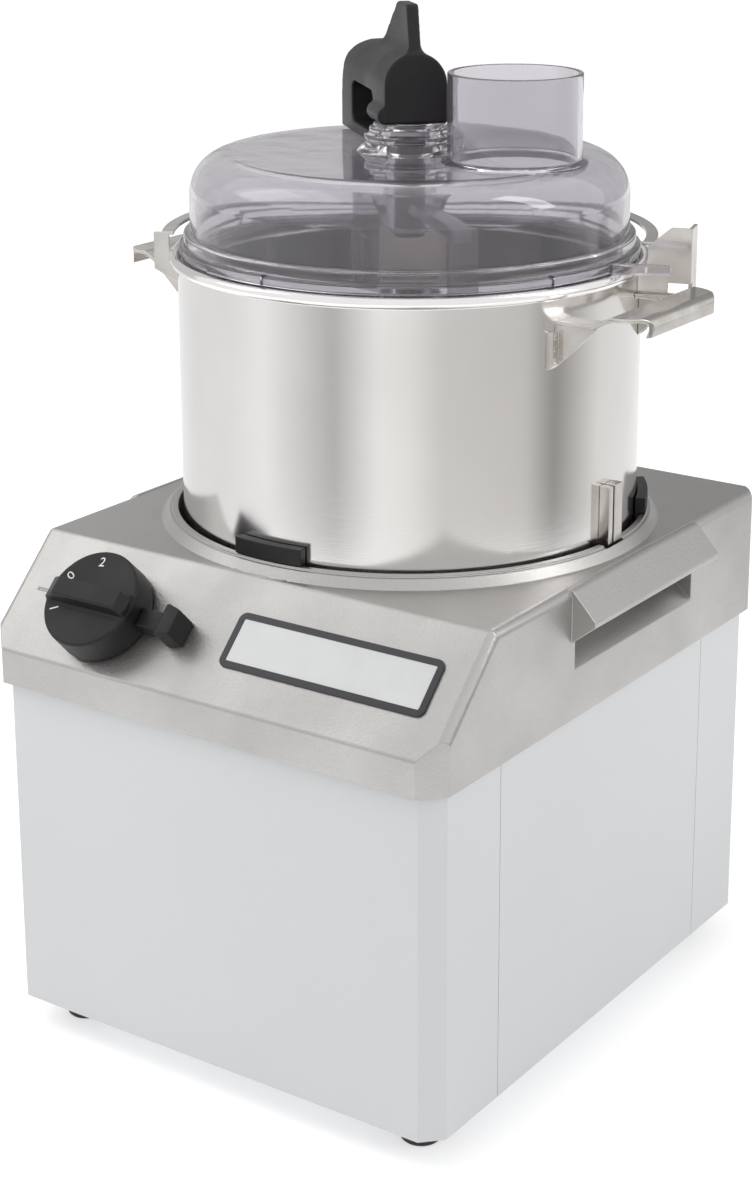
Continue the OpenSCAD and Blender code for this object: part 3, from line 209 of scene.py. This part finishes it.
# %% Clear polycarbonate
def clear_wall(name, tint, haze):
    """Clear moulded plastic of one tint, with flow marks some centimetres long."""
    made = bpy.data.materials.new(name)
    made.use_nodes = True
    shader = made.node_tree.nodes["Principled BSDF"]
    shader.inputs["Transmission Weight"].default_value = 0.95
    shader.inputs["IOR"].default_value = 1.58
    shader.inputs["Base Color"].default_value = colour(tint)
    where = add(made, "TexCoord").outputs["Object"]
    flow = add(made, "TexNoise", {"Scale": 1 / (24 * MM), "Detail": 2}, {"Vector": where})
    spread = add(made, "MapRange", {"To Min": haze[0], "To Max": haze[1]}, {"Value": flow.outputs["Fac"]})
    bump = add(made, "Bump", {"Distance": 0.12 * MM}, {"Height": flow.outputs["Fac"]})
    shadow = add(made, "BsdfTransparent", {"Color": colour(tint)})
    ray = add(made, "LightPath")
    mix = add(made, "MixShader", {}, {0: ray.outputs["Is Shadow Ray"], 1: shader.outputs["BSDF"],
                                      2: shadow.outputs["BSDF"]})
    links = made.node_tree.links
    links.new(spread.outputs["Result"], shader.inputs["Roughness"])
    links.new(bump.outputs["Normal"], shader.inputs["Normal"])
    links.new(mix.outputs["Shader"], made.node_tree.nodes["Material Output"].inputs["Surface"])
    return made


clear = clear_wall("clear_polycarbonate", "#D9D6DB", (0.02, 0.06))
smoky = clear_wall("smoky_polycarbonate", "#B9B3BC", (0.08, 0.2))
print("materials", len(bpy.data.materials))

# %% [markdown]
# Every CAD node keeps a material slot named for its finish in the record. Each of these slots gets
# its finish here, also in the nodes inside the machine. The scraper is smoky see-through plastic
# on a black shaft, so those two get theirs by name. Pieces made below replace some nodes.

# %% Dress the CAD nodes
finishes = {
    "cast_aluminium": cast, "white_sheet": enamel, "pan_sheet": mill_sheet, "rubber": rubber,
    "screw_steel": zinc, "badge": badge_face, "black_plastic": black, "motor_paint": motor_paint,
    "lamination": lamination, "copper": copper, "bearing_steel": bearing_steel,
    "pale_plastic": pale_plastic, "red_plastic": red_plastic, "bowl_steel": bowl_steel,
    "strap_steel": strap_steel, "blade_steel": blade_steel, "hub_plastic": hub_nylon,
    "clear_lid": clear, "silicone": silicone,
}
slot_of = {}
for node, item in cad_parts.items():
    slot_of[node] = item.material_slots[0].material.name
    item.material_slots[0].material = finishes[slot_of[node]]
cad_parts["scraper_arm"].material_slots[0].material = smoky
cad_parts["stirrer_shaft"].material_slots[0].material = black
print("dressed", len(slot_of), "nodes in", len(set(slot_of.values())), "finishes")

# %% [markdown]
# A finished mesh becomes a piece in the same way each time: smooth faces with sharp edges kept,
# normals weighted by area so that flat faces stay flat beside their rounded edges, a ride on its
# body, and the nodes that it stands for.

# %% Make a piece of a mesh
def as_mesh(work, name):
    """Mesh of a bmesh, which is then freed."""
    mesh = bpy.data.meshes.new(name)
    work.to_mesh(mesh)
    work.free()
    return mesh


def piece(name, mesh, material, body, slot, *nodes):
    """Puts a mesh in the scene as a piece riding on a body, in place of the nodes named."""
    mesh.name = name
    mesh.shade_smooth()
    mesh.set_sharp_from_angle(angle=radians(38))
    if not mesh.materials:
        mesh.materials.append(material)
    made = bpy.data.objects.new(name, mesh)
    bpy.context.scene.collection.objects.link(made)
    made.modifiers.new("flat faces stay flat", "WEIGHTED_NORMAL").keep_sharp = True
    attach(made, body)
    if nodes:
        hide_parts(*nodes)
    print(name, len(mesh.polygons), "faces")
    return made


# %% [markdown]
# Real castings, mouldings and cut strip have no knife-sharp edges: each edge is rounded a little,
# and that thin curve catches the light and makes the object look solid. The CAD solids leave such
# small roundings out. So a copy of the node's mesh is merged, its flat faces are joined, and a
# bevel of some tenths of a millimetre rounds every sharp edge.

# %% Round the edges of a CAD node's copy
def soften(node, name, body, width, segments=2, least=28):
    """Copy of a node with its sharp edges rounded `width` mm wide, in place of the node."""
    work = bmesh.new()
    work.from_mesh(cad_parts[node].data)
    bmesh.ops.remove_doubles(work, verts=work.verts, dist=0.004 * MM)
    bmesh.ops.dissolve_limit(work, angle_limit=radians(0.6), verts=work.verts, edges=work.edges)
    sharp = [e for e in work.edges if e.is_manifold and e.calc_face_angle() > radians(least)]
    bmesh.ops.bevel(work, geom=sharp, offset=width * MM, offset_type="OFFSET", segments=segments,
                    profile=0.5, affect="EDGES", clamp_overlap=False, material=-1)
    return piece(name, as_mesh(work, name), finishes[slot_of[node]], body, slot_of[node], node)


soften("top_casting", "cast_top", "housing", 0.45)
soften("bowl_guides", "guide_blocks", "housing", 0.5)
soften("right_handle", "right_strap", "bowl", 0.5)
soften("left_handle", "left_strap", "bowl", 0.5)
soften("handle_gussets", "strap_gussets", "bowl", 0.3)
soften("lid_bracket", "ear_bracket", "bowl", 0.3)
soften("guard_bracket", "low_bracket", "bowl", 0.3)
soften("rear_guard", "guard_band", "bowl", 0.3)
soften("locating_lugs", "twin_bars", "bowl", 0.5)

# %% [markdown]
# A moulded handle has no straight bevels: every edge melts into the next. A voxel remesh turns the
# merged CAD copy into one even skin, and some rounds of smoothing then wear its edges down like
# soap, by about the width of the voxels at each round.

# %% Melt the edges of the mouldings
def melted(node, name, body, voxel, rounds):
    """Copy of a node as one smooth skin of `voxel` mm faces, in place of the node."""
    work = bmesh.new()
    work.from_mesh(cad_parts[node].data)
    bmesh.ops.remove_doubles(work, verts=work.verts, dist=0.004 * MM)
    blank = bpy.data.objects.new("blank", as_mesh(work, name))
    bpy.context.scene.collection.objects.link(blank)
    skin = blank.modifiers.new("skin", "REMESH")
    skin.mode, skin.voxel_size = "VOXEL", voxel * MM
    wear = blank.modifiers.new("wear", "SMOOTH")
    wear.factor, wear.iterations = 0.5, rounds
    graph = bpy.context.evaluated_depsgraph_get()
    mesh = bpy.data.meshes.new_from_object(blank.evaluated_get(graph))
    bpy.data.objects.remove(blank)
    mesh.materials.clear()
    return piece(name, mesh, finishes[slot_of[node]], body, slot_of[node], node)


melted("stirrer_handle", "moulded_grip", "stirrer", 0.7, 8)
melted("dial_knob", "moulded_dial", "dial", 0.6, 4)
melted("dial_lever", "tab_lever", "dial", 0.5, 4)

# %% [markdown]
# The bowl, lid and chute are round, and their reflections show every facet. So they are turned
# like on a lathe: a half section is drawn as a chain of vertices, its corners are rounded with a
# bevel, and one spin closes the shape.

# %% A lathe
bowl_axis = Vector((0, 21.0, 0))


def turned(section, steps=192, centre=bowl_axis, sweep=360, start=0):
    """Spins a closed section of (radius, height, corner cut) in mm round an upright axis."""
    work = bmesh.new()
    chain = [work.verts.new((r * MM, 0, z * MM)) for r, z, _ in section]
    for a, b in zip(chain, chain[1:] + chain[:1]):
        work.edges.new((a, b))
    for vert, (_, _, cut) in zip(chain, section):
        if cut:
            bmesh.ops.bevel(work, geom=[vert], offset=cut * MM, offset_type="OFFSET",
                            segments=max(3, round(cut / 1.4)), profile=0.5, affect="VERTICES",
                            clamp_overlap=False, material=-1)
    full = sweep == 360
    if not full:
        bmesh.ops.contextual_create(work, geom=work.edges[:])
    bmesh.ops.rotate(work, cent=(0, 0, 0), matrix=Matrix.Rotation(radians(start), 3, "Z"), verts=work.verts)
    geometry = work.edges[:] if full else work.verts[:] + work.edges[:] + work.faces[:]
    bmesh.ops.spin(work, geom=geometry, cent=(0, 0, 0), axis=(0, 0, 1), angle=radians(sweep),
                   steps=steps, use_merge=full, use_duplicate=False)
    bmesh.ops.remove_doubles(work, verts=work.verts, dist=0.002 * MM)
    bmesh.ops.recalc_face_normals(work, faces=work.faces)
    bmesh.ops.translate(work, vec=centre * MM, verts=work.verts)
    return work


# %% [markdown]
# The bowl's section: floor, a corner that a spoon can follow, wall, and a round bead rolled
# outwards at the rim, which stiffens the sheet and carries the lid.

# %% Turn the bowl
bowl = turned([
    (11.5, 250.3, 0), (123, 250.3, 14), (123, 409.3, 0.6), (127.5, 409.3, 2.9), (127.5, 415.3, 2.9),
    (121.5, 415.3, 2.9), (121.5, 251.8, 12.5), (11.5, 251.8, 0),
], steps=256)
piece("spun_bowl", as_mesh(bowl, "spun_bowl"), bowl_steel, "bowl", "bowl_steel", "bowl_shell")

# %% [markdown]
# The lid's section is drawn once round: boss, flat top, shoulder and wall inside, then the spigot
# with its seal groove, the stepped flange, the dome outside and the collar. Boolean tools then add
# the four lock blocks and the ear, and cut the chute's hole, so that the lid is one clear body
# with no inner walls to bend light twice.

# %% Turn the lid
dome = turned([
    (8.3, 451, 0.4), (14, 451, 0.8), (14, 464, 1.2), (113, 464, 18), (113, 420, 2.5), (116, 415.6, 0.5),
    (116, 404, 0.8), (120.6, 404, 0.8), (120.6, 408.8, 0), (119, 408.8, 0), (119, 412.4, 0),
    (120.6, 412.4, 0), (120.6, 415.6, 0.4), (122, 415.6, 0.5), (122, 420, 1), (119.5, 420, 0.6),
    (119.5, 425.8, 1), (116, 425.8, 1.2), (116, 467, 21), (28, 467, 0.8), (22.6, 472.6, 0.8),
    (24, 474, 0.6), (24, 476.2, 0.8), (21.3, 477.2, 0.3), (21.3, 479.6, 0.8), (19, 480.4, 0.3),
    (19, 482, 0.5), (8.3, 482, 0.4), (8.3, 478, 0), (10.3, 478, 0), (10.3, 475.7, 0), (8.3, 475.7, 0),
])
lid_mesh = as_mesh(dome, "clear_lid")
lid = bpy.data.objects.new("clear_lid_blank", lid_mesh)
bpy.context.scene.collection.objects.link(lid)


def carve(target, tool, operation):
    """Joins a bmesh to a blank, or cuts it out, and gives the blank its new mesh."""
    helper = bpy.data.objects.new("tool", as_mesh(tool, "tool"))
    bpy.context.scene.collection.objects.link(helper)
    step = target.modifiers.new("carve", "BOOLEAN")
    step.operation, step.object, step.solver = operation, helper, "EXACT"
    graph = bpy.context.evaluated_depsgraph_get()
    target_mesh = bpy.data.meshes.new_from_object(target.evaluated_get(graph))
    target.modifiers.clear()
    target.data = target_mesh
    bpy.data.objects.remove(helper)


# %% Lock blocks, ear and chute hole
for angle in (-21, 69, 159, 249):
    block = turned([(117, 415.9, 0.5), (124, 415.9, 0.8), (124, 421, 0.8), (117, 421, 0.5)], 10,
                   sweep=19, start=angle)
    carve(lid, block, "UNION")

ear_size = Vector((36, 5, 5.2))
ear_middle, ear_root, ear_slant, ear_turn = 417.8, 117.5, 35, -2
ear = bmesh.new()
bmesh.ops.create_cube(ear, size=1)
bmesh.ops.scale(ear, vec=ear_size * MM, verts=ear.verts)
bmesh.ops.translate(ear, vec=Vector((ear_size.x / 2, 0, ear_middle)) * MM, verts=ear.verts)
bmesh.ops.bevel(ear, geom=ear.edges[:], offset=0.9 * MM, offset_type="OFFSET", segments=3, profile=0.5,
                affect="EDGES", clamp_overlap=False, material=-1)
bmesh.ops.rotate(ear, cent=(0, 0, 0), matrix=Matrix.Rotation(radians(ear_slant), 3, "Z"), verts=ear.verts)
bmesh.ops.translate(ear, vec=(ear_root * MM, 0, 0), verts=ear.verts)
bmesh.ops.rotate(ear, cent=(0, 0, 0), matrix=Matrix.Rotation(radians(ear_turn), 3, "Z"), verts=ear.verts)
bmesh.ops.translate(ear, vec=bowl_axis * MM, verts=ear.verts)
carve(lid, ear, "UNION")

chute_axis = bowl_axis + Vector((64.6, 0, 0))
hole = turned([(0.01, 458, 0), (34.55, 458, 0), (34.55, 472, 0), (0.01, 472, 0)], 128, centre=chute_axis)
carve(lid, hole, "DIFFERENCE")
lid_mesh = lid.data
bpy.data.objects.remove(lid)
piece("clear_lid", lid_mesh, clear, "cover", "clear_lid", "lid_shell")

# %% [markdown]
# The chute is a moulded tube with a thicker rounded lip, where the pusher is put in, and a small
# fillet where it meets the lid.

# %% Turn the chute
chute = turned([
    (32, 464, 0.3), (34.5, 464, 0.2), (34.5, 467.1, 0), (37.8, 467.1, 0.1), (34.6, 468.8, 0.8),
    (34.5, 509.4, 0.3), (34.5, 512.5, 0.7), (32, 512.5, 0.7),
], 128, centre=chute_axis)
piece("clear_chute", as_mesh(chute, "clear_chute"), clear, "cover", "clear_lid", "feed_chute")

# %% [markdown]
# The badge is a thin plate stuck on the sloping face, with a dark printed border round a pale
# field. It is blank. A flattened cube gets round corners from a bevel of its upright edges, and an
# inset of its face makes the border, which stands a little proud as thick ink and lacquer do.

# %% Blank badge
slope_foot = Vector((0, -165.8, 219.4))
slope_angle = 44.719
badge_size = Vector((122, 30.6, 1.1))
badge_place = Vector((63, 36.2, 0.57))
corner_round, rim_round, border, ink_height = 4.4, 0.3, 3.3, 0.3
slope_frame = Matrix.Translation(slope_foot * MM) @ Matrix.Rotation(radians(slope_angle), 4, "X")
badge = bmesh.new()
bmesh.ops.create_cube(badge, size=1)
bmesh.ops.scale(badge, vec=badge_size * MM, verts=badge.verts)
upright = [e for e in badge.edges if abs(e.verts[0].co.z - e.verts[1].co.z) > 0.5 * MM]
bmesh.ops.bevel(badge, geom=upright, offset=corner_round * MM, offset_type="OFFSET", segments=6, profile=0.5,
                affect="EDGES", clamp_overlap=False, material=-1)
face = max(badge.faces, key=lambda f: f.calc_center_median().z)
bmesh.ops.bevel(badge, geom=face.edges[:], offset=rim_round * MM, offset_type="OFFSET", segments=2,
                profile=0.5, affect="EDGES", clamp_overlap=False, material=-1)
face = max(badge.faces, key=lambda f: f.calc_area() if f.normal.z > 0.9 else 0)
bmesh.ops.inset_individual(badge, faces=[face], thickness=border * MM, depth=0)
bmesh.ops.inset_individual(badge, faces=[face], thickness=0.08 * MM, depth=-ink_height * MM)
face.material_index = 1
bmesh.ops.translate(badge, vec=badge_place * MM, verts=badge.verts)
bmesh.ops.transform(badge, matrix=slope_frame, verts=badge.verts)
badge_mesh = as_mesh(badge, "blank_badge")
badge_mesh.materials.append(badge_edge)
badge_mesh.materials.append(badge_face)
piece("blank_badge", badge_mesh, badge_edge, "housing", "badge", "name_plate")

# %% [markdown]
# The dial's face carries plain numerals in white ink. Text is a curve in Blender, so it is turned
# into a mesh first and then placed, a tenth of a millimetre thick, on the face of the knob.

# %% Numerals on the dial
dial_face = Vector((-75.5, 32.1, 18.8))
numeral_radius, numeral_size, ink_film = 20.5, 7.5, 0.08
dial_frame = slope_frame @ Matrix.Translation(dial_face * MM)


def numeral(text, angle):
    """A printed numeral on the dial's face, at an angle from its axis."""
    ink = bpy.data.curves.new("ink", "FONT")
    ink.body, ink.size, ink.extrude = text, numeral_size * MM, ink_film * MM
    ink.align_x, ink.align_y = "CENTER", "CENTER"
    holder = bpy.data.objects.new("ink", ink)
    bpy.context.scene.collection.objects.link(holder)
    graph = bpy.context.evaluated_depsgraph_get()
    mesh = bpy.data.meshes.new_from_object(holder.evaluated_get(graph))
    bpy.data.objects.remove(holder)
    at = Vector((cos(radians(angle)), sin(radians(angle)), 0)) * numeral_radius * MM
    mesh.transform(dial_frame @ Matrix.Translation(at) @ Matrix.Rotation(radians(angle - 90), 4, "Z"))
    mesh.materials.clear()
    return piece("dial_numeral_" + text, mesh, print_white, "dial", "badge")


numeral("0", 153)
numeral("1", 208)
numeral("2", 100)

# %% [markdown]
# The gussets are spot-welded to the bowl. Each weld leaves a shallow round dimple with a raised
# lip, three to a flange, which are low domes here.

# %% Weld spots on the gusset flanges
flange_face, flange_middle, weld_radius, weld_flatness = 117.5, 45.4, 1.7, 0.25
welds = bmesh.new()
for side in (-flange_face, flange_face):
    for end in (-flange_middle, flange_middle):
        for height in (379, 385, 391):
            place = Matrix.Translation((bowl_axis + Vector((side, end, height))) * MM)
            bmesh.ops.create_uvsphere(welds, u_segments=16, v_segments=8, radius=weld_radius * MM,
                                      matrix=place @ Matrix.Diagonal((weld_flatness, 1, 1, 1)))
piece("spot_welds", as_mesh(welds, "spot_welds"), strap_steel, "bowl", "strap_steel")

# %% [markdown]
# The floor is a wide pale disc. It keeps the soft shadow of the machine, and a little of its own
# light, for camera, mirror and clear surfaces alone, lifts its lit part to white.

# %% Floor
floor_radius, floor_glow = 12, 0.5
backdrop = bpy.data.materials.new("matt_white_floor")
backdrop.use_nodes = True
plain = backdrop.node_tree.nodes["Principled BSDF"]
plain.inputs["Base Color"].default_value = colour("#E9E9EA")
plain.inputs["Roughness"].default_value = 0.9
plain.inputs["Specular IOR Level"].default_value = 0.1


def seen(material):
    """Output that is 1 for camera, mirror and clear rays, and 0 for others."""
    ray = add(material, "LightPath")
    first = add(material, "Math", {"operation": "MAXIMUM"},
                {0: ray.outputs["Is Camera Ray"], 1: ray.outputs["Is Glossy Ray"]})
    return add(material, "Math", {"operation": "MAXIMUM"},
               {0: first.outputs["Value"], 1: ray.outputs["Is Transmission Ray"]}).outputs["Value"]


lift = add(backdrop, "Math", {"operation": "MULTIPLY", 1: floor_glow}, {0: seen(backdrop)})
glow = add(backdrop, "Emission", {"Color": (1, 1, 1, 1)}, {"Strength": lift.outputs["Value"]})
both = add(backdrop, "AddShader", {}, {0: plain.outputs["BSDF"], 1: glow.outputs["Emission"]})
backdrop.node_tree.links.new(both.outputs["Shader"],
                             backdrop.node_tree.nodes["Material Output"].inputs["Surface"])

ground = bmesh.new()
bmesh.ops.create_circle(ground, cap_ends=True, segments=96, radius=floor_radius)
floor = bpy.data.objects.new("studio_floor", as_mesh(ground, "studio_floor"))
floor.data.materials.append(backdrop)
bpy.context.scene.collection.objects.link(floor)

# %% [markdown]
# Polished steel shows the room, not itself. A photographer stands a low screen round such a bowl,
# so that soft grey bands draw its roundness, and hangs a dull sheet behind it, which calms the flat
# top. Two bright sheets overhead put highlights on the lid's shoulders and the casting's edges. All
# four show in mirror reflections only: they shade nothing, and no view sees them.

# %% Screen and sheets for the reflections
def reflector(name, work, tones, strength=1):
    """Stage piece that only mirrors show. tones holds (angle round the bowl, grey, warmth)."""
    paint = bpy.data.materials.new(name)
    paint.use_nodes = True
    where = add(paint, "TexCoord").outputs["Object"]
    centred = add(paint, "Mapping", {"Location": -bowl_axis * MM}, {"Vector": where})
    turn = add(paint, "TexGradient", {"gradient_type": "RADIAL"}, {"Vector": centred.outputs["Vector"]})
    ramp = add(paint, "ValToRGB", {}, {"Fac": turn.outputs["Fac"]})
    stops = ramp.color_ramp.elements
    for angle, level, warmth in tones[2:]:
        stops.new((angle + 180) / 360)
    for stop, (angle, level, warmth) in zip(stops, sorted(tones)):
        stop.position = (angle + 180) / 360
        stop.color = (level, level * (1 - warmth / 3), level * (1 - warmth), 1)
    shade = add(paint, "Emission", {"Strength": strength}, {"Color": ramp.outputs["Color"]})
    paint.node_tree.links.new(shade.outputs["Emission"],
                              paint.node_tree.nodes["Material Output"].inputs["Surface"])
    made = bpy.data.objects.new(name, as_mesh(work, name))
    made.data.materials.append(paint)
    bpy.context.scene.collection.objects.link(made)
    for kind in ("camera", "diffuse", "shadow", "transmission"):
        setattr(made, "visible_" + kind, False)


screen_radius, screen_foot, screen_top, screen_thick = 850, 20, 330, 2
screen = turned([
    (screen_radius, screen_foot, 0), (screen_radius + screen_thick, screen_foot, 0),
    (screen_radius + screen_thick, screen_top, 0), (screen_radius, screen_top, 0),
], 96)
reflector("grey_screen", screen, [
    (-180, 0.84, 0), (-150, 0.86, 0), (-126, 0.96, 0), (-90, 0.5, 0.01), (-70, 0.95, 0.02), (-56, 0.88, 0.03),
    (-42, 0.68, 0.04), (-2, 0.62, 0.05), (14, 0.3, 0.06), (44, 0.8, 0.03), (120, 1, 0), (180, 0.84, 0),
])


def hung(width, height, lean, reach, lift, turn):
    """Flat sheet in metres, leant and hung `reach` off, then turned round the machine."""
    work = bmesh.new()
    bmesh.ops.create_grid(work, x_segments=1, y_segments=1, size=0.5)
    bmesh.ops.scale(work, vec=(width, height, 1), verts=work.verts)
    bmesh.ops.rotate(work, cent=(0, 0, 0), matrix=Matrix.Rotation(radians(lean), 3, "X"), verts=work.verts)
    bmesh.ops.translate(work, vec=(0, reach, lift), verts=work.verts)
    bmesh.ops.rotate(work, cent=(0, 0, 0), matrix=Matrix.Rotation(radians(turn), 3, "Z"), verts=work.verts)
    return work


all_white = [(-180, 1, 0), (180, 1, 0)]
reflector("dull_sheet", hung(width=5, height=2.1, lean=65, reach=1.55, lift=1.3, turn=34),
          [(-180, 0.62, 0), (104, 0.34, 0), (146, 0.62, 0), (180, 0.62, 0)])
reflector("right_strip", hung(width=0.3, height=1.2, lean=125, reach=1.3, lift=1.5, turn=-70), all_white, 6)
reflector("left_panel", hung(width=0.6, height=0.9, lean=130, reach=1.3, lift=1.5, turn=118), all_white, 2)

# %% [markdown]
# Large soft lamps and an even pale world light the object, at a level where a colour renders about
# as it is written. The world is white to camera, mirror and clear rays, and gentler to the rest.
# Mirrors leave the lamps out, because the sheets above already give the highlights their shapes.

# %% Lamps and world
machine_middle = Vector((0, 0, 0.28))


def softbox(name, place, size, watts):
    """Square soft lamp that looks at the middle of the machine."""
    light = bpy.data.lights.new(name, "AREA")
    light.size, light.energy = size, watts
    made = bpy.data.objects.new(name, light)
    made.location = place
    made.rotation_euler = (machine_middle - made.location).to_track_quat("-Z", "Y").to_euler()
    made.visible_glossy = False
    bpy.context.scene.collection.objects.link(made)


softbox("key_left", Vector((-1.2, -0.7, 1.9)), 1.5, 16)
softbox("front_fill", Vector((-0.5, -2.2, 0.9)), 1.4, 6)
softbox("right_fill", Vector((2.1, 0.5, 1.0)), 1.4, 10)

world = bpy.data.worlds.new("pale_studio")
bpy.context.scene.world = world
world.use_nodes = True
level = add(world, "MapRange", {"To Min": 0.62, "To Max": 1}, {"Value": seen(world)})
world.node_tree.links.new(level.outputs["Result"], world.node_tree.nodes["Background"].inputs["Strength"])
world.node_tree.nodes["Background"].inputs["Color"].default_value = (1, 1, 1, 1)
bpy.context.scene.view_settings.view_transform = "Standard"
